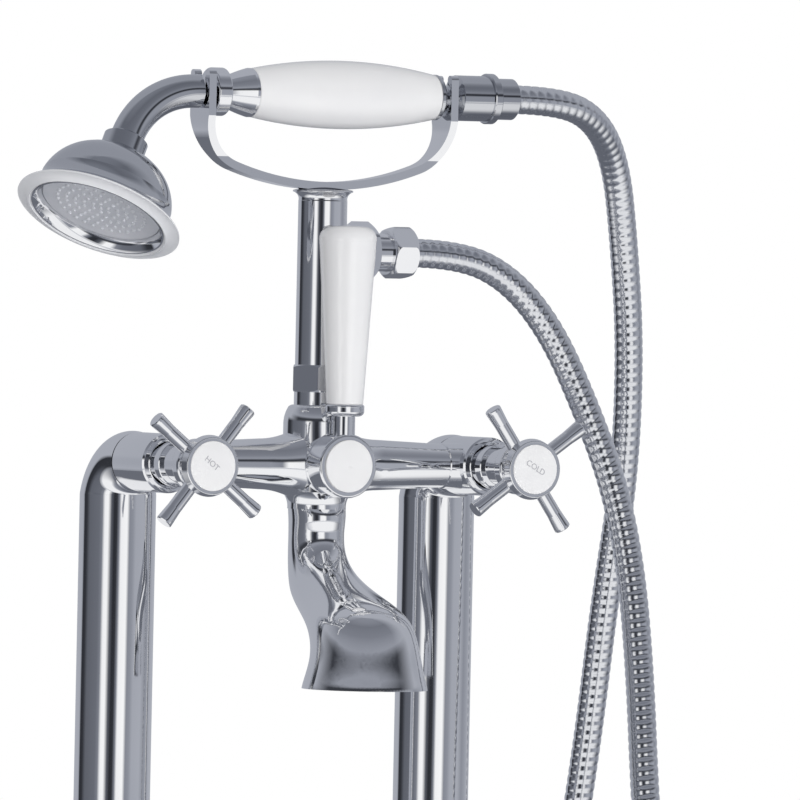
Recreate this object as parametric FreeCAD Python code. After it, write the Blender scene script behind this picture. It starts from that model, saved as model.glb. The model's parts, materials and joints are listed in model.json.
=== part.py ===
import FreeCAD, Part
import math
import os

os.makedirs("parts", exist_ok=True)
Vector = FreeCAD.Vector

# Floor standing bath filler, in millimetres. +X is to the right seen from the bath,
# the bath side is -Y and +Z is up. The origin is on the floor, midway between the legs.
up = Vector(0, 0, 1)
down = Vector(0, 0, -1)
front = Vector(0, -1, 0)
right = Vector(1, 0, 0)
left = Vector(-1, 0, 0)

# Clearances
fitGap = 0.05  # radial, between fixed pieces that slide together
shaftGap = 0.05  # radial, round a spindle that turns
runGap = 0.3  # between a moving piece and what it passes

# Layout
valveHeight = 800.0  # floor to the axis of valves and mixer
legSpan = 180.0  # between the legs' axes
barForward = 41.0  # leg axis to the mixer's vertical axis
waterRadius = 6.5  # every water way

# Legs, floor flanges and supply pipes
legRadius = 19.0
legWall = 1.5
flangeRadius = 44.0
flangeThick = 8.0
flangeEdge = 2.0
collarRadius = 23.0
collarHeight = 20.0
socketFloor = 4.0
floorHoleCircle = 33.5
floorHoleRadius = 2.75
floorHoleSink = 5.25
grubRadius = 2.5
grubAngle = 45.0  # either side of the back
grubKey = 1.25
pipeWall = 1.0
tailRadius = 12.5
tailThread = 9.3
tailThreadLength = 16.0
tailStart = 1.5
tailWeb = 3.0
tailGap = 1.0

# Elbows
armRadius = 14.7
elbowClear = 2.0  # from the inside of the bend to its pivot line
elbowSkirt = 3.3
elbowSpigot = 15.0
elbowSteps = 4
spigotGap = 0.1
washerThick = 0.6
washerEdge = 0.7

# Valves
barrelLength = 33.4
barrelEdge = 0.8
bossRadius = 11.5
bossShows = 5.8  # of the side boss, from the barrel to the bar's seam
cartridgeBore = 11.0
cartridgeDepth = 25.0
cartridgeLand = 4.0
cartridgeWaist = 8.0
cartridgeNose = 7.0
bonnetFlange = 12.5
bonnetFlangeLength = 2.5
bonnetGroove = 9.6
bonnetGrooveLength = 2.5
bonnetCollar = 11.4
bonnetCollarLength = 6.0
bonnetNeck = 9.8
bonnetNeckShows = 16.0
bonnetEdge = 0.4
spindleRadius = 4.0
spindleInCartridge = 36.0

# Cross handles
hubRecess = 3.5
hubLength = 16.0
hubBackRadius = 11.5
hubBulge = 13.0
hubBulgeLength = 6.0
hubGroove = 11.6
hubGrooveLength = 2.0
hubCollarRadius = 13.5
hubFrontRadius = 15.2
hubWeb = 3.0
hubPocket = 5.0
hubPocketRadius = 6.0
armPlane = 12.3  # hub's back to the arms' axes
armWaist = 3.6
armTip = 4.1
armTaper = 9.0
handleReach = 36.0
armStart = 8.0
leftArmAngle = 51.0
rightArmAngle = 35.0
screwRadius = 1.9
screwLength = 12.0
screwHead = 4.0
screwHeadLength = 3.0
screwKey = 1.5
bezelLength = 4.0
bezelFrontRadius = 14.0
bezelLip = 8.0
bezelLipLength = 1.5
discRadius = 12.3
discEdge = 3.0
discCrown = 0.9

# Mixer body
bodyBottom = 22.0
footRadius = 14.6
footFlare = 17.9
footFlareAt = 13.5
footFlareSag = 1.1
barrelRadius = 17.4
barrelHalf = 19.0
domeTop = 28.4
domeRadius = 15.2
neckRadius = 12.4
neckTop = 36.0
spigotRadius = 10.5
spigotLength = 6.0
barEndRadius = 10.9
barNeckRadius = 12.6
barNeckAt = 33.0
barRootRadius = 17.0
barRootAt = 13.5
bodyBore = 8.0
diverterBoss = 15.5
diverterFace = 18.0  # mixer axis to the boss's front
diverterDepth = 9.0

# Diverter lever
leverHubRadius = 15.9
leverHubLength = 14.7
leverHubEdge = 1.2
leverForward = 9.2  # hub's back to the lever's axis
leverDiscRadius = 13.0
leverDiscSeat = 2.0
leverDiscEdge = 3.2
leverDiscCrown = 0.9
leverSpindleIn = 7.0
leverSpindleOut = 8.7
leverNeckRadius = 5.4
leverNeckStart = 12.0
leverNeckTop = 24.6
leverFerruleRadius = 9.8
leverFerruleLength = 5.9
leverGripLength = 88.2
leverGripFoot = 9.2
leverGripHead = 14.2
leverGripShoulder = 80.5
leverGripTop = 7.7
leverGripRound = 2.5
leverGripCrown = 0.5
rodRadius = 2.0
rodInNeck = 8.0
rodInGrip = 60.0

# Stem, outlet and their nuts
stemNutFlats = 25.4
stemNutLength = 13.5
stemWasherThick = 1.5
stemRadius = 12.2
stemBore = 9.0
stemTop = 131.0  # above the mixer axis
outletHeight = 106.0
outletBossRadius = 11.0
outletBossReach = 15.0
outletRadius = 9.5
outletBore = 6.0
outletShows = 9.0
outletInNut = 6.0
backNutFlats = 26.5
backNutLength = 12.0
hoseNutFlats = 23.5
hoseNutLength = 14.0
hoseNutTurn = 18.0

# Cradle
cradleFlareRadius = 15.0
cradleFlare = 5.5
cradlePlug = 10.0
strapThick = 4.0
strapWidth = 10.0
strapSag = 150.0  # radius of the long bottom curve
strapCorner = 25.0
forkHalfWidth = 10.2
forkTip = 11.0  # above the handset's axis
forkFlare = 20.0
forkRise = 12.77  # from the top of the strap's corner to the handset's axis

# Handset
handsetNeck = 5.5
handsetNeckLength = 6.2
neckGap = 0.3
ferruleFlange = 12.0
ferruleFlangeLength = 7.7
ferruleWaist = 8.0
ferruleWaistLength = 1.5
ferruleConeLength = 13.5
gripEndRadius = 12.2
gripMiddle = 17.0
gripLength = 103.0
gripRearRadius = 11.4
rearFerruleRim = 1.5
rearFerruleLength = 4.1  # from the grip to the rear neck
rearConeLength = 2.3
rearRadius = 11.4
rearLength = 17.0
swivelRingRadius = 12.65
swivelRingLength = 4.2
swivelRadius = 10.3
swivelLength = 11.5
innerTubeRadius = 4.4
innerTubeWall = 1.1
gooseRadius = 8.3
gooseStart = 1.9
gooseBend = 45.0
gooseTurn = 63.3
gooseLean = 14.8  # the bend's plane leans to the bath side
gooseEnd = 4.0

# Shower rose, along its own axis from the end of the bend
roseNutRadius = 11.2
roseNutLength = 10.0
bellWall = 2.2
bellWaist = 33.5
bellWaistLength = 21.5
bellLip = 40.8
bellLipWall = 3.7
bellFlareLength = 11.5
ringRadius = 41.8
ringInner = 30.0
ringThick = 3.6
ringEdge = 1.4
linerWall = 0.8
linerLip = 2.0
linerSet = 0.3  # the liner's rim behind the ring's front
faceRadius = 28.8
faceThick = 2.0
faceSet = 6.0  # the face plate's recess behind the liner's rim
roseScrewCircle = 24.0
roseScrewRadius = 1.4
roseScrewHead = 2.4
roseScrewLength = 6.0
roseScrewSlot = 0.7
roseScrewSeat = 0.8  # the plate left under the screw's head
rosePillar = 2.7

# Spout, as forward distance from the mixer's vertical axis and drop below the body's foot
spoutWall = 3.0
spoutPlug = 8.0
spoutPocket = 26.0
spoutPocketStart = 6.5  # above the mouth
spoutPocketLength = 7.0
vaneRimWall = 2.0
vaneLength = 6.0
vaneThick = 1.2
vaneCount = 3
spoutSections = [
    # rear forward, rear drop, front forward, front drop, half width
    (-14.0, 0.0, 14.6, 0.0, 14.4),
    (-13.6, 12.0, 14.4, 10.0, 13.9),
    (-13.5, 26.0, 16.0, 20.0, 14.2),
    (-12.0, 38.0, 27.0, 30.0, 15.6),
    (-5.7, 45.6, 44.0, 38.0, 18.2),
    (8.3, 53.6, 63.0, 45.2, 22.0),
    (22.0, 62.0, 77.0, 55.5, 25.4),
    (27.2, 73.0, 82.6, 73.0, 27.7),
    (24.5, 83.5, 84.9, 83.5, 30.2),
    (23.5, 87.5, 85.7, 87.5, 31.1),
]

# Shower hose
hoseRadius = 7.25
hoseBore = 4.5
hoseGroove = 0.7
hoseRibs = 180
hoseCrest = 0.6  # share of a rib that has the full radius
hoseBoreStep = 24.0
hoseLead = 28.0  # from each end nut to the route's first point
# free points of the route, from the handset down and back up to the outlet
hoseRoute = [
    (160.0, -32.0, 974.5),
    (181.0, -15.0, 953.0),
    (192.0, -5.0, 915.0),
    (201.0, 2.0, 860.0),
    (204.5, 11.0, 794.0),
    (201.0, 23.0, 730.0),
    (200.0, 35.0, 662.0),
    (194.5, 44.0, 593.0),
    (191.0, 51.0, 523.5),
    (187.5, 55.5, 458.5),
    (185.0, 57.5, 405.0),
    (183.0, 56.0, 360.0),
    (182.0, 31.0, 319.0),
    (180.0, -13.0, 299.0),
    (178.0, -61.0, 307.0),
    (177.0, -95.0, 341.0),
    (175.0, -106.0, 387.0),
    (173.5, -105.0, 438.5),
    (169.5, -102.5, 503.0),
    (166.5, -95.0, 572.5),
    (167.0, -83.0, 639.0),
    (169.5, -71.0, 699.0),
    (168.5, -62.0, 748.5),
    (162.0, -55.0, 790.0),
    (148.0, -50.0, 828.0),
    (129.0, -46.0, 868.0),
    (106.0, -43.0, 894.0),
]

# Positions that follow from the sizes above
legOffset = legSpan / 2
barHalf = legOffset - armRadius - bossShows  # mixer axis to each seam of the bar
elbowForward = legRadius + elbowClear
elbowDrop = armRadius + elbowClear
legTop = valveHeight - elbowDrop - elbowSkirt
barrelBack = elbowForward + washerThick
barrelFront = barrelBack + barrelLength
bonnetCollarFront = bonnetFlangeLength + bonnetGrooveLength + bonnetCollarLength
hubBack = barrelFront + bonnetCollarFront + bonnetNeckShows
bonnetLength = hubBack + hubRecess - runGap - barrelFront
hubFront = hubBack + hubLength
spindleFront = hubFront - hubPocket - hubWeb
stemFoot = neckTop + stemNutLength
hoseNutStart = outletBossReach + backNutLength + outletShows
hoseNutEnd = hoseNutStart + hoseNutLength
cradleFoot = stemTop + cradleFlare
frontFerruleLength = handsetNeckLength + ferruleFlangeLength + ferruleWaistLength + ferruleConeLength
forkSpan = (frontFerruleLength + gripLength + rearFerruleLength) / 2  # mixer axis to each fork
strapBendX = forkSpan - strapCorner
strapCentre = cradleFoot + strapThick / 2 + strapSag
strapBend = strapCentre - math.sqrt((strapSag - strapCorner) ** 2 - strapBendX**2)
handsetHeight = strapBend + forkRise
neckHalf = handsetNeckLength / 2
roseRing = roseNutLength + bellWaistLength + bellFlareLength
linerRim = roseRing + ringThick - linerSet
faceFront = linerRim - faceSet
faceBack = faceFront - faceThick
mixerAxis = Vector(0, -barForward, valveHeight)
handsetAxis = Vector(0, -barForward, valveHeight + handsetHeight)


def spot(x, forward, height):
    """A point given by its forward distance and its height above the mixer axis."""
    return Vector(x, -forward, valveHeight + height)


def placed(shape, base, direction):
    shape.Placement = FreeCAD.Placement(base, FreeCAD.Rotation(up, direction))
    return shape


def turned(outline, base, direction):
    """Turn an outline of (along, radius) about the axis from base in a direction.

    An entry of four numbers is reached by an arc through its last two.
    """
    corners = [Vector(entry[1], 0, entry[0]) for entry in outline]
    edges = []
    for index, corner in enumerate(corners):
        entry = outline[index]
        before = corners[index - 1]
        if len(entry) == 4:
            middle = Vector(entry[3], 0, entry[2])
            edges.append(Part.Arc(before, middle, corner).toShape())
        else:
            edges.append(Part.LineSegment(before, corner).toShape())
    face = Part.Face(Part.Wire(edges))
    return placed(face.revolve(Vector(0, 0, 0), up, 360), base, direction)


def bowed(first, second, sag):
    """The outline's entry for an arc to its second point, hollow by sag (bulging where below 0)."""
    along = second[0] - first[0]
    across = second[1] - first[1]
    share = sag / math.hypot(along, across)
    middle = ((first[0] + second[0]) / 2, (first[1] + second[1]) / 2)
    return (second[0], second[1], middle[0] + across * share, middle[1] - along * share)


def crowned(start, radius, rise):
    """The outline's entry for a round crown from a rim up to its top on the axis."""
    sphere = (radius**2 + rise**2) / (2 * rise)
    half = math.asin(radius / sphere) / 2
    return (start + rise, 0, start + rise - sphere + sphere * math.cos(half), sphere * math.sin(half))


def rod(radius, start, length, base, direction):
    axis = Vector(direction).normalize()
    return Part.makeCylinder(radius, length, base + axis * start, axis)


def ring(outer, inner, start, length, base, direction):
    end = start + length
    return turned([(start, inner), (start, outer), (end, outer), (end, inner)], base, direction)


def hexagon(flats, start, length, turn, base, direction):
    corner = flats / math.sqrt(3)
    points = []
    for index in range(7):
        angle = math.radians(turn + 60 * index)
        points.append(Vector(corner * math.cos(angle), corner * math.sin(angle), start))
    prism = Part.Face(Part.makePolygon(points)).extrude(Vector(0, 0, length))
    return placed(prism, base, direction)


def hexNut(flats, length, bore, turn, base, direction):
    """A nut with both ends turned down to the flats."""
    corner = flats / math.sqrt(3) + 0.1
    fall = (corner - flats / 2) * 0.6
    crown = turned(
        [
            (0, 0),
            (0, flats / 2 - 0.2),
            (fall, corner),
            (length - fall, corner),
            (length, flats / 2 - 0.2),
            (length, 0),
        ],
        base,
        direction,
    )
    nut = hexagon(flats, 0, length, turn, base, direction).common(crown)
    return nut.cut(rod(bore, -1, length + 2, base, direction))


def floorFlange(side):
    base = Vector(side * legOffset, 0, 0)
    top = flangeThick + collarHeight
    shape = turned(
        [
            (0, 0),
            (0, flangeRadius),
            (flangeThick - flangeEdge, flangeRadius),
            (flangeThick, flangeRadius - flangeEdge, flangeThick - 0.3 * flangeEdge, flangeRadius - 0.3 * flangeEdge),
            (flangeThick, collarRadius + flangeEdge),
            (flangeThick + flangeEdge, collarRadius, flangeThick + 0.3 * flangeEdge, collarRadius + 0.3 * flangeEdge),
            (top - 1, collarRadius),
            (top, collarRadius - 1),
            (top, 0),
        ],
        base,
        up,
    )
    shape = shape.cut(rod(legRadius + fitGap, socketFloor, top, base, up))
    shape = shape.cut(rod(tailRadius + tailGap, -1, socketFloor + 2, base, up))
    for index in range(4):
        angle = math.radians(45 + 90 * index)
        hole = base + Vector(math.cos(angle), math.sin(angle), 0) * floorHoleCircle
        shape = shape.cut(rod(floorHoleRadius, -1, flangeThick + 2, hole, up))
        sink = flangeThick - (floorHoleSink - floorHoleRadius)
        cone = [(sink, 0), (sink, floorHoleRadius), (flangeThick, floorHoleSink), (flangeThick, 0)]
        shape = shape.cut(turned(cone, hole, up))
    for direction, middle in grubPlaces(side):
        shape = shape.cut(rod(grubRadius, 0, collarRadius + 2, middle, direction))
    return shape


def grubPlaces(side):
    """The direction of each grub screw and the point on the leg's axis that it aims at."""
    places = []
    for turn in (-grubAngle, grubAngle):
        angle = math.radians(turn)
        direction = Vector(math.sin(angle), math.cos(angle), 0)
        middle = Vector(side * legOffset, 0, flangeThick + collarHeight / 2)
        places.append((direction, middle))
    return places


def grubScrews():
    screws = []
    start = legRadius + fitGap
    length = collarRadius - 0.4 - start
    for side in (-1, 1):
        for direction, middle in grubPlaces(side):
            screw = rod(grubRadius - fitGap, start, length, middle, direction)
            key = hexagon(2 * grubKey, start + length - 2, 3, 0, middle, direction)
            screws.append(screw.cut(key))
    return Part.makeCompound(screws)


def legTube(side):
    base = Vector(side * legOffset, 0, 0)
    return ring(legRadius, legRadius - legWall, socketFloor, legTop - socketFloor, base, up)


def supplyPipe(side):
    base = Vector(side * legOffset, 0, 0)
    pipe = waterRadius + pipeWall
    seat = tailStart + tailThreadLength
    outline = [
        (tailStart, tailThread),
        (tailStart, tailRadius),
        (seat + 1, tailRadius),
        (seat + 1 + tailWeb, pipe),
        (legTop, pipe),
        (legTop, waterRadius),
        (seat, waterRadius),
        (seat, tailThread),
    ]
    return turned(outline, base, up)


def elbow(side):
    """A fan of circles about a pivot line, from the leg's radius to the arm's."""
    pivot = Vector(side * legOffset, -elbowForward, valveHeight - elbowDrop)
    rings = []
    for index in range(elbowSteps + 1):
        share = index / elbowSteps
        turn = math.radians(90 * share)
        reach = elbowForward + (elbowDrop - elbowForward) * share
        radius = legRadius + (armRadius - legRadius) * share
        centre = pivot + Vector(0, math.cos(turn), math.sin(turn)) * reach
        normal = Vector(0, -math.sin(turn), math.cos(turn))
        circle = Part.makeCircle(radius, Vector(0, 0, 0), up)
        circle.Placement = FreeCAD.Placement(centre, FreeCAD.Rotation(right, Vector(), normal, "ZXY"))
        rings.append(Part.Wire(circle))
    shape = Part.makeLoft(rings, True, False)
    axis = Vector(side * legOffset, 0, legTop)
    shape = shape.fuse(rod(legRadius, 0, elbowSkirt, axis, up))
    shape = shape.fuse(rod(legRadius - legWall - spigotGap, 0, elbowSpigot, axis, down))
    shape = shape.cut(rod(waterRadius + pipeWall + fitGap, 0, elbowSpigot + 1, axis, down))
    shape = shape.cut(rod(waterRadius, 0, valveHeight - legTop, axis, up))
    return shape.cut(rod(waterRadius, 0, elbowForward + 1, spot(side * legOffset, 0, 0), front))


def elbowWasher(side):
    base = spot(side * legOffset, elbowForward, 0)
    return ring(armRadius - washerEdge, waterRadius + 2, 0, washerThick, base, front)


def valveBody(side):
    base = spot(side * legOffset, barrelBack, 0)
    outline = [
        (0, 0),
        (0, armRadius - 0.3),
        (0.3, armRadius),
        (barrelLength - barrelEdge, armRadius),
        (barrelLength, armRadius - barrelEdge),
        (barrelLength, 0),
    ]
    shape = turned(outline, base, front)
    inward = Vector(-side, 0, 0)
    middle = spot(side * legOffset, barForward, 0)
    reach = legOffset - barHalf
    boss = [(0, 0), (0, bossRadius), (reach - 0.5, bossRadius), (reach, bossRadius - 0.5), (reach, 0)]
    shape = shape.fuse(turned(boss, middle, inward))
    shape = shape.cut(rod(cartridgeBore, barrelLength - cartridgeDepth, cartridgeDepth + 1, base, front))
    shape = shape.cut(rod(waterRadius, -1, barrelLength, base, front))
    return shape.cut(rod(waterRadius, 0, reach + 1, middle, inward))


def bonnet(side):
    base = spot(side * legOffset, barrelFront, 0)
    groove = bonnetFlangeLength
    collar = groove + bonnetGrooveLength
    neck = bonnetCollarFront
    bore = cartridgeNose + fitGap
    outline = [
        (0, bore),
        (0, bonnetFlange),
        (groove - bonnetEdge, bonnetFlange),
        (groove, bonnetFlange - bonnetEdge),
        (groove, bonnetGroove),
        (collar, bonnetGroove),
        (collar, bonnetCollar - bonnetEdge),
        (collar + bonnetEdge, bonnetCollar),
        (neck - bonnetEdge, bonnetCollar),
        (neck, bonnetCollar - bonnetEdge),
        (neck, bonnetNeck),
        (bonnetLength, bonnetNeck),
        (bonnetLength, bore),
    ]
    return turned(outline, base, front)


def cartridge(side):
    base = spot(side * legOffset, barrelFront - cartridgeDepth, 0)
    land = cartridgeBore - fitGap
    noseEnd = cartridgeDepth + bonnetLength - 1
    holeStart = noseEnd - spindleInCartridge
    hole = spindleRadius + shaftGap
    outline = [
        (0, 0),
        (0, land),
        (cartridgeLand, land),
        (cartridgeLand, cartridgeWaist),
        (cartridgeDepth - cartridgeLand, cartridgeWaist),
        (cartridgeDepth - cartridgeLand, land),
        (cartridgeDepth, land),
        (cartridgeDepth, cartridgeNose),
        (noseEnd, cartridgeNose),
        (noseEnd, hole),
        (holeStart, hole),
        (holeStart, 0),
    ]
    return turned(outline, base, front)


def spindle(side):
    noseEnd = barrelFront + bonnetLength - 1
    start = noseEnd - spindleInCartridge + runGap
    base = spot(side * legOffset, 0, 0)
    shape = rod(spindleRadius, start, spindleFront - start, base, front)
    return shape.cut(rod(screwRadius + fitGap, spindleFront - screwLength, screwLength + 1, base, front))


def handle(side, armAngle):
    base = spot(side * legOffset, hubBack, 0)
    groove = hubBulgeLength + hubGrooveLength
    outline = [
        (0, 0),
        (0, hubBackRadius),
        bowed((0, hubBackRadius), (0.3 * hubBulgeLength, hubBulge), -0.4),
        (hubBulgeLength, hubBulge),
        bowed((hubBulgeLength, hubBulge), (groove, hubGroove), -0.4),
        bowed((groove, hubGroove), (groove + hubGrooveLength, hubCollarRadius), 0.3),
        (hubLength, hubFrontRadius),
        (hubLength, 0),
    ]
    shape = turned(outline, base, front)
    middle = spot(side * legOffset, hubBack + armPlane, 0)
    arm = [
        (armStart, 0),
        (armStart, armWaist),
        (handleReach - armTaper, armWaist),
        (handleReach - 1.5, armTip),
        (handleReach - 0.4, armTip),
        (handleReach, armTip - 0.4),
        (handleReach, 0),
    ]
    for index in range(4):
        angle = math.radians(armAngle + 90 * index)
        shape = shape.fuse(turned(arm, middle, Vector(math.cos(angle), 0, math.sin(angle))))
    shape = shape.cut(rod(bonnetNeck + runGap, -1, hubRecess + 1, base, front))
    shape = shape.cut(rod(spindleRadius + fitGap, 0, spindleFront - hubBack, base, front))
    shape = shape.cut(rod(screwRadius + fitGap, 0, hubLength, base, front))
    return shape.cut(rod(hubPocketRadius, hubLength - hubPocket, hubPocket + 1, base, front))


def handleScrew(side):
    base = spot(side * legOffset, hubFront - hubPocket, 0)
    reach = hubWeb + screwLength - 1
    shape = rod(screwRadius, -reach, reach, base, front)
    shape = shape.fuse(rod(screwHead, 0, screwHeadLength, base, front))
    return shape.cut(hexagon(2 * screwKey, screwHeadLength - 2, 3, 0, base, front))


def indexBezel(side):
    base = spot(side * legOffset, hubFront, 0)
    inner = discRadius + fitGap
    outline = [
        (0, bezelLip),
        (0, hubFrontRadius),
        (bezelLength - 0.6, bezelFrontRadius + 0.3),
        (bezelLength, bezelFrontRadius - 0.4, bezelLength - 0.1, bezelFrontRadius + 0.1),
        (bezelLength, inner),
        (bezelLipLength, inner),
        (bezelLipLength, bezelLip),
    ]
    return turned(outline, base, front)


def domedDisc(radius, edge, crown, base):
    outline = [
        (0, 0),
        (0, radius),
        (edge - 0.5, radius),
        (edge, radius - 0.5, edge - 0.15, radius - 0.15),
        crowned(edge, radius - 0.5, crown),
    ]
    return turned(outline, base, front)


def mixerBody():
    outline = [
        (-bodyBottom, 0),
        (-bodyBottom, footRadius),
        bowed((-bodyBottom, footRadius), (-footFlareAt, footFlare), footFlareSag),
        (-0.6 * footFlareAt, barrelRadius),
        (barrelHalf, barrelRadius),
        (domeTop, domeRadius, (barrelHalf + domeTop) / 2, (barrelRadius + domeRadius) / 2 + 0.7),
        (domeTop + 1.2, neckRadius, domeTop + 1.0, neckRadius + 1.4),
        (neckTop, neckRadius),
        (neckTop, spigotRadius),
        (neckTop + spigotLength, spigotRadius),
        (neckTop + spigotLength, 0),
    ]
    shape = turned(outline, mixerAxis, up)
    flare = (barNeckAt + barRootAt) / 2 - 1.5
    flareRadius = barNeckRadius + (barRootRadius - barNeckRadius) * 0.33
    bar = [
        (-barHalf, 0),
        (-barHalf, barEndRadius),
        (-barNeckAt, barNeckRadius),
        (-barRootAt, barRootRadius, -flare, flareRadius),
        (barRootAt, barRootRadius),
        (barNeckAt, barNeckRadius, flare, flareRadius),
        (barHalf, barEndRadius),
        (barHalf, 0),
    ]
    shape = shape.fuse(turned(bar, mixerAxis, right))
    boss = [
        (0, 0),
        (0, diverterBoss),
        (diverterFace - 0.6, diverterBoss),
        (diverterFace, diverterBoss - 0.6),
        (diverterFace, 0),
    ]
    shape = shape.fuse(turned(boss, mixerAxis, front))
    height = bodyBottom + neckTop + spigotLength
    shape = shape.cut(rod(bodyBore, -bodyBottom - 1, height + 2, mixerAxis, up))
    shape = shape.cut(rod(spigotRadius + fitGap, -bodyBottom - 1, spoutPlug + 1, mixerAxis, up))
    shape = shape.cut(rod(waterRadius, -barHalf - 1, 2 * barHalf + 2, mixerAxis, right))
    return shape.cut(rod(cartridgeBore, diverterFace - diverterDepth, diverterDepth + 1, mixerAxis, front))


def diverterCartridge():
    land = cartridgeBore - fitGap
    start = diverterFace - diverterDepth
    hole = spindleRadius + shaftGap
    outline = [
        (start, 0),
        (start, land),
        (start + 3, land),
        (start + 3, land - 1),
        (start + 5, land - 1),
        (start + 5, land),
        (diverterFace, land),
        (diverterFace, hole),
        (diverterFace - leverSpindleIn, hole),
        (diverterFace - leverSpindleIn, 0),
    ]
    return turned(outline, mixerAxis, front)


def diverterSpindle():
    start = diverterFace - leverSpindleIn + runGap
    return rod(spindleRadius, start, diverterFace + runGap + leverSpindleOut - start, mixerAxis, front)


def leverHub():
    base = spot(0, barForward + diverterFace + runGap, 0)
    edge = leverHubEdge
    outline = [
        (0, 0),
        (0, leverHubRadius - 0.6),
        (edge, leverHubRadius),
        (leverHubLength - edge, leverHubRadius),
        (leverHubLength, leverHubRadius - edge, leverHubLength - 0.3 * edge, leverHubRadius - 0.3 * edge),
        (leverHubLength, 0),
    ]
    shape = turned(outline, base, front)
    foot = base + front * leverForward
    shape = shape.fuse(rod(leverNeckRadius, leverNeckStart, leverNeckTop - leverNeckStart, foot, up))
    seat = leverHubLength - leverDiscSeat
    shape = shape.cut(rod(leverDiscRadius + fitGap, seat, leverDiscSeat + 5, base, front))
    shape = shape.cut(rod(spindleRadius + fitGap, -1, leverSpindleOut + 1, base, front))
    return shape.cut(rod(rodRadius + fitGap, leverNeckTop - rodInNeck, rodInNeck + 1, foot, up))


def leverAxis():
    return spot(0, barForward + diverterFace + runGap + leverForward, leverNeckTop)


def leverFerrule():
    hole = rodRadius + fitGap
    wide = leverFerruleRadius
    outline = [
        (0, hole),
        (0, wide - 2.6),
        (2.2, wide, 0.8, wide - 0.8),
        (leverFerruleLength - 1.4, wide),
        (leverFerruleLength, wide - 0.8, leverFerruleLength - 0.4, wide - 0.2),
        (leverFerruleLength, hole),
    ]
    return turned(outline, leverAxis(), up)


def leverGrip():
    base = leverAxis() + up * leverFerruleLength
    hole = rodRadius + fitGap
    top = leverGripLength
    outline = [
        (0, hole),
        (0, leverGripFoot - 0.6),
        (0.8, leverGripFoot, 0.2, leverGripFoot - 0.15),
        (leverGripShoulder, leverGripHead),
        bowed((leverGripShoulder, leverGripHead), (top, leverGripTop), -leverGripRound),
        crowned(top, leverGripTop, leverGripCrown),
        (rodInGrip, 0),
        (rodInGrip, hole),
    ]
    return turned(outline, base, up)


def leverRod():
    length = rodInNeck + leverFerruleLength + rodInGrip
    return rod(rodRadius, -rodInNeck, length, leverAxis(), up)


def stemWasher():
    start = neckTop + spigotLength
    return ring(spigotRadius, bodyBore, start, stemWasherThick, mixerAxis, up)


def stem():
    foot = neckTop + spigotLength + stemWasherThick
    outline = [
        (foot, bodyBore),
        (foot, spigotRadius),
        (stemFoot, spigotRadius),
        (stemFoot, stemRadius),
        (stemTop, stemRadius),
        (stemTop, stemBore),
        (stemFoot, stemBore),
        (stemFoot, bodyBore),
    ]
    shape = turned(outline, mixerAxis, up)
    middle = mixerAxis + up * outletHeight
    shape = shape.fuse(rod(outletBossRadius, 0, outletBossReach, middle, right))
    shape = shape.fuse(rod(outletRadius, 0, hoseNutStart + outletInNut, middle, right))
    shape = shape.cut(rod(outletBore, 0, hoseNutStart + outletInNut + 1, middle, right))
    return shape.cut(rod(stemBore, stemFoot, stemTop - stemFoot + 1, mixerAxis, up))


def outletBackNut():
    base = mixerAxis + up * outletHeight + right * outletBossReach
    return hexNut(backNutFlats, backNutLength, outletRadius + fitGap, 0, base, right)


def outletHoseNut():
    """The nut on the hose's end: domed at both ends, and closed round the water way."""
    base = mixerAxis + up * outletHeight + right * hoseNutStart
    corner = hoseNutFlats / math.sqrt(3)
    length = hoseNutLength
    crown = turned(
        [
            (0, 0),
            (0, corner - 2.6),
            (3, corner + 0.1, 1.0, corner - 0.9),
            (length - 4, corner + 0.1),
            (length, corner - 3.6, length - 1.3, corner - 1.2),
            (length, 0),
        ],
        base,
        right,
    )
    nut = hexagon(hoseNutFlats, 0, length, hoseNutTurn, base, right).common(crown)
    nut = nut.cut(rod(outletRadius + fitGap, -1, outletInNut + 1, base, right))
    return nut.cut(rod(outletBore, 0, length + 1, base, right))


def strapSide(offset):
    """Points down one side of the strap, from the fork's tip to the middle of the bottom."""
    sag = strapSag + offset
    corner = strapCorner + offset
    lean = math.atan2(strapBendX, strapCentre - strapBend)
    half = (lean + math.pi / 2) / 2
    return {
        "tip": (forkSpan + offset, handsetHeight + forkTip),
        "bend": (forkSpan + offset, strapBend),
        "bendMiddle": (strapBendX + corner * math.sin(half), strapBend - corner * math.cos(half)),
        "meet": (sag * math.sin(lean), strapCentre - sag * math.cos(lean)),
        "bottom": (0, strapCentre - sag),
    }


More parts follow.
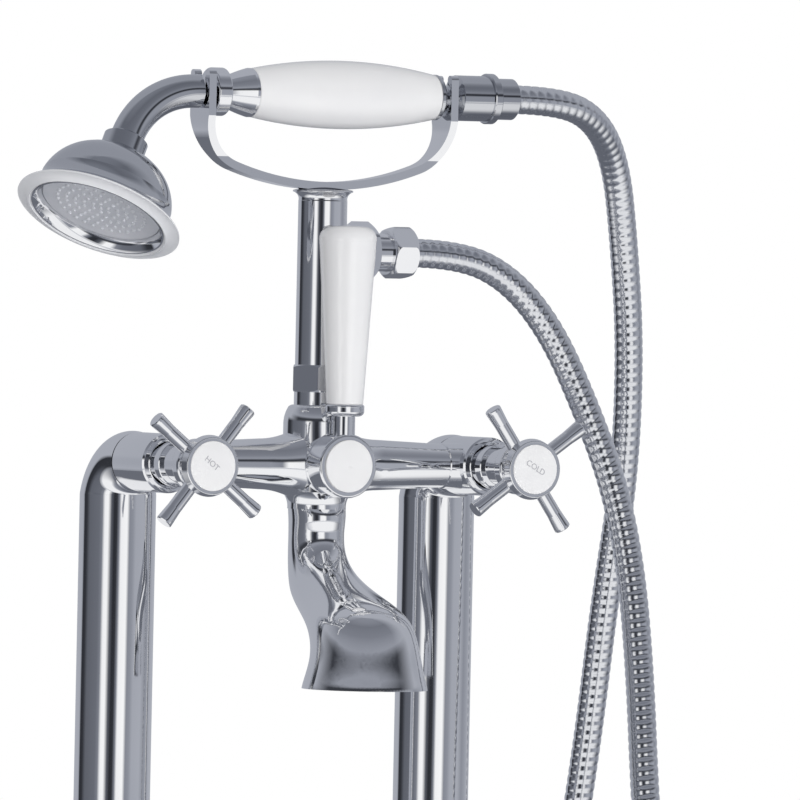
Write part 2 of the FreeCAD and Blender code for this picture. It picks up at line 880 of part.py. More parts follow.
def cradle():
    """Two extrusions that cut each other: the strap seen from the front, the fork from the side."""
    outer = strapSide(strapThick / 2)
    inner = strapSide(-strapThick / 2)

    def corner(side, points, name):
        return Vector(side * points[name][0], 0, valveHeight + points[name][1])

    edges = []
    for points in (outer, inner):
        edges.append(Part.LineSegment(corner(-1, points, "tip"), corner(-1, points, "bend")))
        edges.append(
            Part.Arc(corner(-1, points, "bend"), corner(-1, points, "bendMiddle"), corner(-1, points, "meet"))
        )
        edges.append(Part.Arc(corner(-1, points, "meet"), corner(1, points, "bottom"), corner(1, points, "meet")))
        edges.append(
            Part.Arc(corner(1, points, "meet"), corner(1, points, "bendMiddle"), corner(1, points, "bend"))
        )
        edges.append(Part.LineSegment(corner(1, points, "bend"), corner(1, points, "tip")))
    for side in (-1, 1):
        edges.append(Part.LineSegment(corner(side, outer, "tip"), corner(side, inner, "tip")))
    ordered = Part.__sortEdges__([edge.toShape() for edge in edges])
    profile = Part.Face(Part.Wire(ordered))
    profile.translate(Vector(0, -barForward + forkHalfWidth, 0))
    strap = profile.extrude(Vector(0, -2 * forkHalfWidth, 0))

    notch = handsetNeck + neckGap
    prong = (forkHalfWidth - notch) / 2
    tip = handsetHeight + forkTip - prong
    half = strapWidth / 2
    low = cradleFoot - 5
    wide = handsetHeight - notch - 6
    narrow = wide - forkFlare
    side = [
        Part.LineSegment(fork(-half, low), fork(half, low)),
        Part.LineSegment(fork(half, low), fork(half, narrow)),
        Part.LineSegment(fork(half, narrow), fork(forkHalfWidth, wide)),
        Part.LineSegment(fork(forkHalfWidth, wide), fork(forkHalfWidth, tip)),
        Part.Arc(fork(forkHalfWidth, tip), fork(forkHalfWidth - prong, tip + prong), fork(notch, tip)),
        Part.LineSegment(fork(notch, tip), fork(notch, handsetHeight)),
        Part.Arc(fork(notch, handsetHeight), fork(0, handsetHeight - notch), fork(-notch, handsetHeight)),
        Part.LineSegment(fork(-notch, handsetHeight), fork(-notch, tip)),
        Part.Arc(fork(-notch, tip), fork(prong - forkHalfWidth, tip + prong), fork(-forkHalfWidth, tip)),
        Part.LineSegment(fork(-forkHalfWidth, tip), fork(-forkHalfWidth, wide)),
        Part.LineSegment(fork(-forkHalfWidth, wide), fork(-half, narrow)),
        Part.LineSegment(fork(-half, narrow), fork(-half, low)),
    ]
    span = forkSpan + strapThick
    flank = Part.Face(Part.Wire([edge.toShape() for edge in side]))
    flank.translate(Vector(-span, 0, 0))
    shape = strap.common(flank.extrude(Vector(2 * span, 0, 0)))

    rise = cradleFoot - stemTop
    flare = [
        (stemTop, 0),
        (stemTop, stemRadius),
        (cradleFoot - 1, cradleFlareRadius, stemTop + rise * 0.6, stemRadius + 0.8),
        (cradleFoot, cradleFlareRadius - 0.8, cradleFoot - 0.2, cradleFlareRadius - 0.15),
        crowned(cradleFoot, cradleFlareRadius - 0.8, 1.5),
    ]
    shape = shape.fuse(turned(flare, mixerAxis, up))
    return shape.fuse(rod(stemBore - fitGap, stemTop - cradlePlug, cradlePlug, mixerAxis, up))


def fork(across, height):
    return Vector(0, -barForward + across, valveHeight + height)


def gooseFrame():
    """The bend's start, its centre, its side direction and the rose's base and direction."""
    lean = math.radians(gooseLean)
    turn = math.radians(gooseTurn)
    fall = Vector(0, -math.sin(lean), -math.cos(lean))
    start = handsetAxis + left * (forkSpan + neckHalf + gooseStart)
    centre = start + fall * gooseBend
    end = centre + (left * math.sin(turn) - fall * math.cos(turn)) * gooseBend
    middle = centre + (left * math.sin(turn / 2) - fall * math.cos(turn / 2)) * gooseBend
    direction = left * math.cos(turn) + fall * math.sin(turn)
    return start, middle, end, direction


def gooseneck():
    start, middle, end, direction = gooseFrame()
    first = handsetAxis + left * (forkSpan + neckHalf)
    last = end + direction * gooseEnd
    path = Part.Wire(
        [
            Part.LineSegment(first, start).toShape(),
            Part.Arc(start, middle, end).toShape(),
            Part.LineSegment(end, last).toShape(),
        ]
    )
    outer = path.makePipeShell([Part.Wire(Part.makeCircle(gooseRadius, first, left))], True, False)
    bore = path.makePipeShell([Part.Wire(Part.makeCircle(waterRadius, first, left))], True, False)
    return outer.cut(bore)


def frontFerrule():
    base = handsetAxis + left * (forkSpan + neckHalf)
    hole = innerTubeRadius + fitGap
    flange = handsetNeckLength
    waist = flange + ferruleFlangeLength
    cone = waist + ferruleWaistLength
    end = cone + ferruleConeLength
    outline = [
        (0, hole),
        (0, handsetNeck),
        (flange, handsetNeck),
        (flange, ferruleFlange - 1),
        (flange + 1, ferruleFlange, flange + 0.3, ferruleFlange - 0.3),
        (waist - 1, ferruleFlange),
        (waist, ferruleFlange - 1, waist - 0.3, ferruleFlange - 0.3),
        (waist, ferruleWaist),
        (cone, ferruleWaist),
        (end - 1.5, gripEndRadius, (cone + end) / 2, (ferruleWaist + gripEndRadius) / 2 + 0.5),
        (end, gripEndRadius),
        (end, hole),
    ]
    return turned(outline, base, right)


def gripStart():
    return frontFerruleLength - forkSpan - neckHalf


def handsetGrip():
    base = handsetAxis + right * gripStart()
    hole = innerTubeRadius + fitGap
    outline = [
        (0, hole),
        (0, gripEndRadius - 0.8),
        (0.8, gripEndRadius, 0.24, gripEndRadius - 0.24),
        (gripLength - 0.8, gripRearRadius, gripLength * 0.46, gripMiddle),
        (gripLength, gripRearRadius - 0.8, gripLength - 0.24, gripRearRadius - 0.24),
        (gripLength, hole),
    ]
    return turned(outline, base, right)


def rearFerrule():
    start = gripStart() + gripLength
    hole = innerTubeRadius + fitGap
    neckStart = forkSpan - neckHalf
    neckEnd = forkSpan + neckHalf
    drum = neckEnd + rearConeLength
    end = drum + rearLength
    outline = [
        (start, hole),
        (start, gripRearRadius),
        (start + rearFerruleRim, gripRearRadius),
        (neckStart - 0.6, handsetNeck + 1.6, start + rearFerruleRim + 1.6, gripRearRadius - 1.6),
        (neckStart, handsetNeck + 1.0),
        (neckStart, handsetNeck),
        (neckEnd, handsetNeck),
        (neckEnd, handsetNeck + 1.0),
        (drum, rearRadius),
        (end, rearRadius),
        (end, hole),
    ]
    return turned(outline, handsetAxis, right)


def swivelStart():
    return forkSpan + neckHalf + rearConeLength + rearLength


def hoseSwivelNut():
    start = swivelStart()
    rim = start + swivelRingLength
    end = rim + swivelLength
    outline = [
        (start, innerTubeRadius - innerTubeWall),
        (start, swivelRingRadius - 0.5),
        (start + 0.5, swivelRingRadius),
        (rim - 0.5, swivelRingRadius),
        (rim, swivelRingRadius - 0.5),
        (rim, swivelRadius),
        (end - 0.8, swivelRadius),
        (end, swivelRadius - 0.8),
        (end, innerTubeRadius - innerTubeWall),
    ]
    return turned(outline, handsetAxis, right)


def handsetTube():
    start = -forkSpan - neckHalf
    length = swivelStart() - start
    inner = innerTubeRadius - innerTubeWall
    return ring(innerTubeRadius, inner, start, length, handsetAxis, right)


def roseNut():
    _, _, end, direction = gooseFrame()
    outline = [
        (0, gooseRadius + fitGap),
        (0, roseNutRadius - 1.5),
        (1.2, roseNutRadius),
        (roseNutLength - 1.2, roseNutRadius),
        (roseNutLength, roseNutRadius - 0.8),
        (roseNutLength, gooseRadius + fitGap),
    ]
    return turned(outline, end, direction)


def bellSide(inset):
    """The dome of the bell as (along, radius) points from the nut to the waist."""
    start = roseNutLength
    reach = bellWaistLength
    mouth = bellWaist - inset
    return [
        (start + reach * 0.18 + inset * 0.8, mouth * 0.63),
        (start + reach * 0.55 + inset * 0.3, mouth * 0.88),
        (start + reach, mouth),
    ]


def roseScrewSpot():
    """The rose's base, its direction and a point on the screw's axis."""
    _, _, end, direction = gooseFrame()
    across = direction.cross(right).normalize()
    return end, direction, end + across * roseScrewCircle


def roseBell():
    end, direction, screwBase = roseScrewSpot()
    start = roseNutLength
    outer = bellSide(0)
    inner = bellSide(bellWall)
    outline = [
        (gooseEnd + 0.2, waterRadius),
        (gooseEnd + 0.2, gooseRadius),
        (start, gooseRadius),
        (start, roseNutRadius - 1.2),
        (outer[0][0], outer[0][1], start + 1.0, outer[0][1] * 0.73),
        (outer[2][0], outer[2][1], outer[1][0], outer[1][1]),
        bowed(outer[2], (roseRing, bellLip), 2.1),
        (roseRing, bellLip - bellLipWall),
        bowed((roseRing, bellLip - bellLipWall), inner[2], -1.6),
        (inner[0][0], inner[0][1], inner[1][0], inner[1][1]),
        (start + bellWall, waterRadius + 4),
        (start + bellWall, waterRadius),
    ]
    shape = turned(outline, end, direction)
    dome = start + bellWaistLength * 0.45
    shape = shape.fuse(rod(rosePillar, dome, faceBack - dome, screwBase, direction))
    return shape.cut(rod(roseScrewRadius + fitGap, dome + 4, faceBack - dome, screwBase, direction))


def roseRim():
    _, _, end, direction = gooseFrame()
    inner = ringInner
    edge = roseRing + ringEdge
    top = roseRing + ringThick
    outline = [
        (roseRing, inner),
        (roseRing, ringRadius - 1),
        bowed((roseRing, ringRadius - 1), (edge, ringRadius), -0.25),
        bowed((edge, ringRadius), (top, inner + 1.4), -1.0),
        bowed((top, inner + 1.4), (top - 1.2, inner), -0.4),
    ]
    return turned(outline, end, direction)


def roseLiner():
    _, _, end, direction = gooseFrame()
    outer = ringInner - fitGap
    outline = [
        (faceBack - linerLip, faceRadius - linerLip),
        (faceBack - linerLip, outer),
        (linerRim, outer),
        (linerRim, outer - linerWall),
        (faceFront, faceRadius + fitGap),
        (faceBack, faceRadius + fitGap),
        (faceBack, faceRadius - linerLip),
    ]
    return turned(outline, end, direction)


def roseFace():
    end, direction, screwBase = roseScrewSpot()
    shape = rod(faceRadius, faceBack, faceThick, end, direction)
    shape = shape.cut(rod(roseScrewRadius + fitGap, faceBack - 1, faceThick + 2, screwBase, direction))
    return shape.cut(rod(roseScrewHead + fitGap, faceBack + roseScrewSeat, faceThick, screwBase, direction))


def roseScrew():
    _, direction, base = roseScrewSpot()
    seat = faceBack + roseScrewSeat
    shape = rod(roseScrewRadius, seat - roseScrewLength, roseScrewLength, base, direction)
    shape = shape.fuse(rod(roseScrewHead, seat, faceFront - seat, base, direction))
    corner = Vector(-roseScrewHead - 0.5, -roseScrewSlot / 2, faceFront - 0.6)
    slot = Part.makeBox(2 * roseScrewHead + 1, roseScrewSlot, 1, corner)
    return shape.cut(placed(slot, base, direction))


def spoutRing(section, inset):
    """A closed oval between the rear and the front of a section, square to the spout's flow."""
    rearForward, rearDrop, frontForward, frontDrop, halfWidth = section
    rear = spot(0, barForward + rearForward, -bodyBottom - rearDrop)
    nose = spot(0, barForward + frontForward, -bodyBottom - frontDrop)
    centre = (rear + nose) * 0.5
    long = (nose - rear) * 0.5
    long = long * ((long.Length - inset) / long.Length)
    wide = right * (halfWidth - inset)
    points = []
    for index in range(12):
        angle = math.radians(30 * index)
        points.append(centre + wide * math.cos(angle) + long * math.sin(angle))
    oval = Part.BSplineCurve()
    oval.interpolate(Points=points, PeriodicFlag=True)
    return Part.Wire(oval.toShape())


def spout():
    outer = Part.makeLoft([spoutRing(section, 0) for section in spoutSections], True, False)
    inner = Part.makeLoft([spoutRing(section, spoutWall) for section in spoutSections[1:]], True, False)
    plug = rod(spigotRadius, -bodyBottom - 1, spoutPlug + 1, mixerAxis, up)
    shape = outer.fuse(plug)
    throat = bodyBottom + spoutSections[1][1] + 3
    shape = shape.cut(rod(bodyBore, -throat, throat, mixerAxis, up))
    shape = shape.cut(inner)
    return shape.cut(rod(spoutPocket, spoutPocketStart, spoutPocketLength, spoutMouth(), up))


def spoutMouth():
    mouth = spoutSections[-1]
    return spot(0, barForward + (mouth[0] + mouth[2]) / 2, -bodyBottom - mouth[1])


def spoutStraightener():
    base = spoutMouth()
    start = spoutPocketStart + spoutPocketLength - vaneLength
    outer = spoutPocket - fitGap
    shape = ring(outer, outer - vaneRimWall, start, vaneLength, base, up)
    for index in range(vaneCount):
        length = 2 * (outer - vaneRimWall / 2)
        vane = Part.makeBox(length, vaneThick, vaneLength, Vector(-length / 2, -vaneThick / 2, 0))
        vane.rotate(Vector(0, 0, 0), up, 180 * index / vaneCount)
        vane.translate(base + up * start)
        shape = shape.fuse(vane)
    return shape


def routeSpans(points):
    """Straight runs joined by tangent arcs, each as large as its two runs allow."""
    spans = []
    radii = []
    last = points[0]
    for index in range(1, len(points) - 1):
        point = points[index]
        into = point - points[index - 1]
        out = points[index + 1] - point
        shorter = min(into.Length, out.Length)
        into.normalize()
        out.normalize()
        turn = into.getAngle(out)
        setback = 0.45 * shorter
        radius = setback / math.tan(turn / 2)
        radii.append(radius)
        enter = point - into * setback
        leave = point + out * setback
        inward = (out - into * out.dot(into)).normalize()
        spans.append(("line", last, (enter - last).Length, into, None, 0))
        spans.append(("arc", enter + inward * radius, radius * turn, into, inward, radius))
        last = leave
    along = points[-1] - last
    spans.append(("line", last, along.Length, Vector(along).normalize(), None, 0))
    return spans, radii


def station(spans, distance):
    """The point and the direction at a distance along the route."""
    for kind, origin, length, into, inward, radius in spans:
        if distance <= length or spans[-1][1] == origin:
            if kind == "line":
                return origin + into * distance, into
            turn = distance / radius
            point = origin + (into * math.sin(turn) - inward * math.cos(turn)) * radius
            return point, into * math.cos(turn) + inward * math.sin(turn)
        distance -= length


def hoseRings(spans, stops):
    """Circles of (distance, radius) along the route, on an X axis that is carried without twist."""
    side = Vector(0, 1, 0)
    rings = []
    for distance, radius in stops:
        point, along = station(spans, distance)
        side = (side - along * side.dot(along)).normalize()
        circle = Part.makeCircle(radius, Vector(0, 0, 0), up)
        circle.Placement = FreeCAD.Placement(point, FreeCAD.Rotation(side, Vector(), along, "ZXY"))
        rings.append(Part.Wire(circle))
    return rings


def hose():
    start = handsetAxis + right * (swivelStart() + swivelRingLength + swivelLength)
    end = mixerAxis + up * outletHeight + right * hoseNutEnd
    middle = [Vector(*point) for point in hoseRoute]
    points = [start, start + right * hoseLead] + middle + [end + right * hoseLead, end]
    spans, radii = routeSpans(points)
    length = sum(span[2] for span in spans)
    straight = 2 * hoseRadius
    pitch = (length - 2 * straight) / hoseRibs
    low = hoseRadius - hoseGroove
    outerStops = [(0, hoseRadius), (straight - 0.1 * pitch, hoseRadius)]
    for index in range(hoseRibs):
        foot = straight + pitch * index
        slope = pitch * (1 - hoseCrest) / 2
        outerStops.append((foot, low))
        outerStops.append((foot + slope, hoseRadius))
        outerStops.append((foot + pitch - slope, hoseRadius))
    outerStops.append((length - straight, low))
    outerStops.append((length - straight + 0.1 * pitch, hoseRadius))
    outerStops.append((length, hoseRadius))
    boreSteps = round(length / hoseBoreStep)
    boreStops = [(length * index / boreSteps, hoseBore) for index in range(boreSteps + 1)]
    outer = Part.makeLoft(hoseRings(spans, outerStops), True, True)
    bore = Part.makeLoft(hoseRings(spans, boreStops), True, True)
    solid = outer.cut(bore)
    crest = math.pi * (hoseRadius**2 - hoseBore**2)
    print("hose length", round(length, 1), "pitch", round(pitch, 2))
    print("hose volume", round(solid.Volume), "of at most", round(crest * length))
    print("hose radii", [round(radius) for radius in radii])
    return solid


def build():
    pieces = {}
    for side, word in ((-1, "left"), (1, "right")):
        pieces["floor_flange_" + word] = floorFlange(side)
        pieces["leg_tube_" + word] = legTube(side)
        pieces["supply_pipe_" + word] = supplyPipe(side)
        pieces["elbow_" + word] = elbow(side)
        pieces["valve_body_" + word] = valveBody(side)
        pieces["bonnet_" + word] = bonnet(side)
        pieces["cartridge_" + word] = cartridge(side)
        pieces["spindle_" + word] = spindle(side)
        armAngle = leftArmAngle if side < 0 else rightArmAngle
        pieces["handle_" + word] = handle(side, armAngle)
        pieces["handle_screw_" + word] = handleScrew(side)
        pieces["index_bezel_" + word] = indexBezel(side)
        seat = spot(side * legOffset, hubFront + bezelLipLength, 0)
        pieces["index_disc_" + word] = domedDisc(discRadius, discEdge, discCrown, seat)
    pieces["flange_grub_screws"] = grubScrews()
    pieces["elbow_washers"] = Part.makeCompound([elbowWasher(-1), elbowWasher(1)])
    pieces["mixer_body"] = mixerBody()
    pieces["diverter_cartridge"] = diverterCartridge()
    pieces["diverter_spindle"] = diverterSpindle()
    pieces["lever_hub"] = leverHub()
    leverSeat = barForward + diverterFace + runGap + leverHubLength - leverDiscSeat
    pieces["lever_disc"] = domedDisc(leverDiscRadius, leverDiscEdge, leverDiscCrown, spot(0, leverSeat, 0))
    pieces["lever_ferrule"] = leverFerrule()
    pieces["lever_rod"] = leverRod()
    pieces["lever_grip"] = leverGrip()
    stemNutBase = mixerAxis + up * neckTop
    pieces["stem_nut"] = hexNut(stemNutFlats, stemNutLength, spigotRadius + fitGap, 0, stemNutBase, up)
    pieces["stem_washer"] = stemWasher()
    pieces["stem"] = stem()
    pieces["outlet_back_nut"] = outletBackNut()
    pieces["outlet_hose_nut"] = outletHoseNut()
    pieces["cradle"] = cradle()
    pieces["gooseneck"] = gooseneck()
    pieces["front_ferrule"] = frontFerrule()
    pieces["handset_grip"] = handsetGrip()
    pieces["rear_ferrule"] = rearFerrule()
    pieces["hose_swivel_nut"] = hoseSwivelNut()
    pieces["handset_tube"] = handsetTube()
    pieces["rose_nut"] = roseNut()
    pieces["rose_bell"] = roseBell()
    pieces["rose_ring"] = roseRim()
    pieces["rose_liner"] = roseLiner()
    pieces["rose_face"] = roseFace()
    pieces["rose_screw"] = roseScrew()
    pieces["spout"] = spout()
    pieces["spout_straightener"] = spoutStraightener()
    pieces["hose"] = hose()
    return pieces


for name, shape in build().items():
    shape.exportStep("parts/" + name + ".step")
    print(name, len(shape.Solids), round(shape.Volume), shape.isValid())
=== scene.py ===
import bisect
import bpy
import bmesh
import json
import math
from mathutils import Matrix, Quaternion, Vector


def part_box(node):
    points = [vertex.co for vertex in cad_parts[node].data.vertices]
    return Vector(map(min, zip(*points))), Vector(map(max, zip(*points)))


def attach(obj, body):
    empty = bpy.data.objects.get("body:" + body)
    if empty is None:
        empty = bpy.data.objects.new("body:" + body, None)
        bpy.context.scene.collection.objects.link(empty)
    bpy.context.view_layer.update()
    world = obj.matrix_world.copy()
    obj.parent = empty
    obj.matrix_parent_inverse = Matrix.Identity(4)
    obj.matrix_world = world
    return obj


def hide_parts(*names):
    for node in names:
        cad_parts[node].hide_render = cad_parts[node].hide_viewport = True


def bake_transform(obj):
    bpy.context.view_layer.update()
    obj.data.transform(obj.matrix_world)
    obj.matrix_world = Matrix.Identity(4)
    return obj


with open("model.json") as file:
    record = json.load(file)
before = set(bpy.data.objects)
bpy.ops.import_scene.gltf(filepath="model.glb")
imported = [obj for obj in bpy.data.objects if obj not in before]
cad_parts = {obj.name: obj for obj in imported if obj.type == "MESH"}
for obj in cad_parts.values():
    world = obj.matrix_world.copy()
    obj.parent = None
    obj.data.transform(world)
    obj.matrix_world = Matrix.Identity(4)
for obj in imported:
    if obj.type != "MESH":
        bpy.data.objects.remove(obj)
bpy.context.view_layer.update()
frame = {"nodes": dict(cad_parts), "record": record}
nodes = frame["nodes"]
scene = bpy.context.scene
print("frame loaded, nodes:", len(nodes))

# Camera: a long lens, low and from the left of the bath side
camera = {
    "turn": -28.25,  # degrees, negative is to the left
    "lift": 0.8,  # degrees above the horizon
    "roll": 1.2,  # degrees, turns the picture clockwise
    "distance": 6.0,  # metres from what it looks at
    "lens": 543.0,
    "near": 0.5,
    "far": 60.0,
    "aim": (0.0358, -0.0597, 0.8329),
}


def backFrom(turn, lift):
    a = math.radians(turn)
    e = math.radians(lift)
    return Vector((math.sin(a) * math.cos(e), -math.cos(a) * math.cos(e), math.sin(e)))


def makeCamera():
    data = bpy.data.cameras.new("pictureCamera")
    data.lens = camera["lens"]
    data.clip_start = camera["near"]
    data.clip_end = camera["far"]
    made = bpy.data.objects.new("pictureCamera", data)
    scene.collection.objects.link(made)
    back = backFrom(camera["turn"], camera["lift"])
    made.location = Vector(camera["aim"]) + back * camera["distance"]
    made.rotation_mode = "QUATERNION"
    level = (-back).to_track_quat("-Z", "Y")
    made.rotation_quaternion = level @ Quaternion((0, 0, 1), math.radians(camera["roll"]))
    scene.camera = made


makeCamera()
print("camera placed")


# Small helpers for the shader trees
noiseRange = (0.3, 0.7)  # most of a noise's values lie between these


def noise(tree, look):
    place = tree.nodes.new("ShaderNodeTexCoord").outputs["Object"]
    made = tree.nodes.new("ShaderNodeTexNoise")
    made.inputs["Scale"].default_value = look["scale"]
    made.inputs["Detail"].default_value = look["detail"]
    tree.links.new(place, made.inputs["Vector"])
    return made.outputs["Fac"]


def ranged(tree, source, low, high, fromRange=noiseRange):
    made = tree.nodes.new("ShaderNodeMapRange")
    made.inputs["From Min"].default_value = fromRange[0]
    made.inputs["From Max"].default_value = fromRange[1]
    made.inputs["To Min"].default_value = low
    made.inputs["To Max"].default_value = high
    tree.links.new(source, made.inputs["Value"])
    return made.outputs["Result"]


def addShades(tree, shader, look):
    made = tree.nodes.new("ShaderNodeValToRGB")
    for element, position, shade in zip(made.color_ramp.elements, noiseRange, ("dark", "light")):
        element.position = position
        element.color = (*look[shade], 1)
    tree.links.new(noise(tree, look), made.inputs["Fac"])
    tree.links.new(made.outputs["Color"], shader.inputs["Base Color"])


def addWear(tree, shader, look):
    roughness = ranged(tree, noise(tree, look), look["smooth"], look["rough"])
    tree.links.new(roughness, shader.inputs["Roughness"])


def addGrain(tree, shader, look):
    made = tree.nodes.new("ShaderNodeBump")
    made.inputs["Strength"].default_value = look["strength"]
    made.inputs["Distance"].default_value = look["depth"]
    tree.links.new(noise(tree, look), made.inputs["Height"])
    tree.links.new(made.outputs["Normal"], shader.inputs["Normal"])


def finish(name, look):
    material = bpy.data.materials.new(name)
    material.use_nodes = True
    tree = material.node_tree
    shader = tree.nodes["Principled BSDF"]
    shader.inputs["Base Color"].default_value = (*look["colour"], 1)
    for socket, value in look["sockets"].items():
        shader.inputs[socket].default_value = value
    for part, add in (("shades", addShades), ("wear", addWear), ("grain", addGrain)):
        if part in look:
            add(tree, shader, look[part])
    return material


# Each finish: shades are drifts of its colour, wear drifts of its roughness in smears
# and handling marks, and grain is the fine unevenness of its surface
chromeLook = {
    "colour": (0.93, 0.932, 0.94),
    "sockets": {"Metallic": 1.0},
    "shades": {"scale": 9.0, "detail": 2.0, "dark": (0.87, 0.875, 0.89), "light": (0.93, 0.932, 0.94)},
    "wear": {"scale": 34.0, "detail": 5.0, "smooth": 0.025, "rough": 0.07},
    "grain": {"scale": 900.0, "detail": 2.0, "strength": 0.02, "depth": 0.0001},
}

# a darker copy of the chrome for the handset's pieces: painted shade, for the dimmer light that falls on the
# handset
shadedChromeLook = dict(
    chromeLook,
    colour=(0.68, 0.69, 0.71),
    shades={"scale": 9.0, "detail": 2.0, "dark": (0.60, 0.61, 0.635), "light": (0.68, 0.69, 0.71)},
)

hoseSteelLook = {
    "colour": (0.80, 0.81, 0.83),
    "sockets": {"Metallic": 1.0},
    "shades": {"scale": 60.0, "detail": 3.0, "dark": (0.74, 0.75, 0.78), "light": (0.80, 0.81, 0.83)},
    "wear": {"scale": 260.0, "detail": 4.0, "smooth": 0.10, "rough": 0.2},
    "grain": {"scale": 1800.0, "detail": 2.0, "strength": 0.05, "depth": 0.0001},
}

ceramicLook = {
    "colour": (0.91, 0.91, 0.91),
    "sockets": {"Coat Weight": 0.6, "Coat Roughness": 0.03, "IOR": 1.5},
    "shades": {"scale": 18.0, "detail": 4.0, "dark": (0.86, 0.86, 0.87), "light": (0.91, 0.91, 0.91)},
    "wear": {"scale": 120.0, "detail": 3.0, "smooth": 0.08, "rough": 0.16},
    "grain": {"scale": 220.0, "detail": 2.0, "strength": 0.05, "depth": 0.0004},
}

enamelLook = {
    "colour": (0.84, 0.85, 0.87),
    "sockets": {"Roughness": 0.22, "Coat Weight": 0.3},
    "shades": {"scale": 30.0, "detail": 4.0, "dark": (0.80, 0.81, 0.84), "light": (0.86, 0.87, 0.89)},
    "grain": {"scale": 400.0, "detail": 3.0, "strength": 0.05, "depth": 0.0002},
}

satinFaceLook = {
    "colour": (0.62, 0.63, 0.68),
    "sockets": {"Roughness": 0.4},
    "shades": {"scale": 60.0, "detail": 4.0, "dark": (0.57, 0.59, 0.64), "light": (0.66, 0.67, 0.72)},
    "grain": {"scale": 1500.0, "detail": 3.0, "strength": 0.12, "depth": 0.0001},
}

nozzleLook = {
    "colour": (0.64, 0.66, 0.70),
    "sockets": {"Roughness": 0.45},
    "shades": {"scale": 500.0, "detail": 3.0, "dark": (0.60, 0.62, 0.66), "light": (0.68, 0.70, 0.74)},
}

sealLook = {
    "colour": (0.02, 0.02, 0.022),
    "sockets": {"Roughness": 0.6},
    "grain": {"scale": 2500.0, "detail": 3.0, "strength": 0.2, "depth": 0.0001},
}

brassLook = {
    "colour": (0.78, 0.58, 0.28),
    "sockets": {"Metallic": 1.0},
    "shades": {"scale": 25.0, "detail": 3.0, "dark": (0.70, 0.50, 0.23), "light": (0.80, 0.61, 0.31)},
    "wear": {"scale": 90.0, "detail": 3.0, "smooth": 0.2, "rough": 0.38},
}

steelLook = {
    "colour": (0.6, 0.6, 0.62),
    "sockets": {"Metallic": 1.0},
    "wear": {"scale": 300.0, "detail": 3.0, "smooth": 0.2, "rough": 0.4},
}

plasticLook = {
    "colour": (0.72, 0.72, 0.69),
    "sockets": {"Roughness": 0.45},
    "grain": {"scale": 900.0, "detail": 3.0, "strength": 0.1, "depth": 0.0001},
}

printLook = {
    "colour": (0.42, 0.42, 0.45),
    "sockets": {"Roughness": 0.4},
    "shades": {"scale": 900.0, "detail": 3.0, "dark": (0.36, 0.36, 0.39), "light": (0.50, 0.50, 0.53)},
}

# by the record's slot
finishes = {
    "chrome": finish("polishedChrome", chromeLook),
    "hose_steel": finish("hoseSteel", hoseSteelLook),
    "porcelain": finish("glazedCeramic", ceramicLook),
    "white_ring": finish("whiteEnamel", enamelLook),
    "face_grey": finish("satinFace", satinFaceLook),
    "rubber": finish("sealRubber", sealLook),
    "brass": finish("turnedBrass", brassLook),
    "steel": finish("plainSteel", steelLook),
    "plastic": finish("naturalPlastic", plasticLook),
}
# the handset's pieces, which take the darker chrome copy as painted shade
shadedChromePieces = ["gooseneck", "rose_nut", "rose_bell", "rear_ferrule", "hose_swivel_nut"]


def dressNodes():
    # the darker chrome copy is painted shade on the handset's pieces
    shadedChrome = finish("shadedChrome", shadedChromeLook)
    for subpart in frame["record"]["subparts"]:
        name = subpart["node"]
        dress = shadedChrome if name in shadedChromePieces else finishes[subpart["material_slot"]]
        nodes[name].data.materials.clear()
        nodes[name].data.materials.append(dress)


dressNodes()
print("materials on every node")


# Small helpers for the meshes
def meshObject(name, vertices, faces, material, smooth=True):
    mesh = bpy.data.meshes.new(name)
    mesh.from_pydata(vertices, [], faces)
    mesh.polygons.foreach_set("use_smooth", [smooth] * len(mesh.polygons))
    mesh.materials.append(material)
    made = bpy.data.objects.new(name, mesh)
    scene.collection.objects.link(made)
    return made


def closeSeams(mesh, within):
    work = bmesh.new()
    work.from_mesh(mesh)
    bmesh.ops.remove_doubles(work, verts=work.verts, dist=within)
    bmesh.ops.recalc_face_normals(work, faces=work.faces)
    work.to_mesh(mesh)
    work.free()


def meshFrom(curve):
    # the mesh that Blender makes of a curve or a text
    holder = bpy.data.objects.new(curve.name, curve)
    scene.collection.objects.link(holder)
    bpy.context.view_layer.update()
    mesh = bpy.data.meshes.new_from_object(holder)
    bpy.data.objects.remove(holder)
    return mesh


# The hose: a spirally wound metal tube that follows its route
hose = {
    "length": 1.50,
    "diameter": 0.0145,
    "groove": 0.00035,
    "pitch": 0.0047,
    "sides": 26,
    "fineness": 24,  # steps of the line between two points of the route
    "seam": 0.00002,
    "lifted": (0.18, -0.015, 0.977),  # the higher of two points by the hose's first bend; the lower one follows
    "still": (0.18, -0.015, 0.9135),
    "profile": [0.0, 0.72, 1.0, 1.0, 0.72],  # 1 is the crest and 0 the groove's floor, over one pitch
    "route": [
        (0.1061, -0.041, 0.9839),
        (0.134, -0.041, 0.9839),
        (0.160, -0.032, 0.9745),
        (0.181, -0.015, 0.953),
        (0.192, -0.005, 0.915),
        (0.201, 0.002, 0.860),
        (0.2045, 0.011, 0.794),
        (0.201, 0.023, 0.730),
        (0.200, 0.035, 0.662),
        (0.1945, 0.044, 0.593),
        (0.191, 0.051, 0.5235),
        (0.1875, 0.0555, 0.4585),
        (0.185, 0.0575, 0.405),
        (0.183, 0.056, 0.360),
        (0.182, 0.031, 0.319),
        (0.180, -0.013, 0.299),
        (0.178, -0.061, 0.307),
        (0.177, -0.095, 0.341),
        (0.175, -0.106, 0.387),
        (0.1735, -0.105, 0.4385),
        (0.1695, -0.1025, 0.503),
        (0.1665, -0.095, 0.5725),
        (0.167, -0.083, 0.639),
        (0.1695, -0.071, 0.699),
        (0.1685, -0.062, 0.7485),
        (0.162, -0.055, 0.790),
        (0.148, -0.050, 0.828),
        (0.129, -0.046, 0.868),
        (0.106, -0.043, 0.894),
        (0.078, -0.041, 0.906),
        (0.050, -0.041, 0.906),
    ],
}


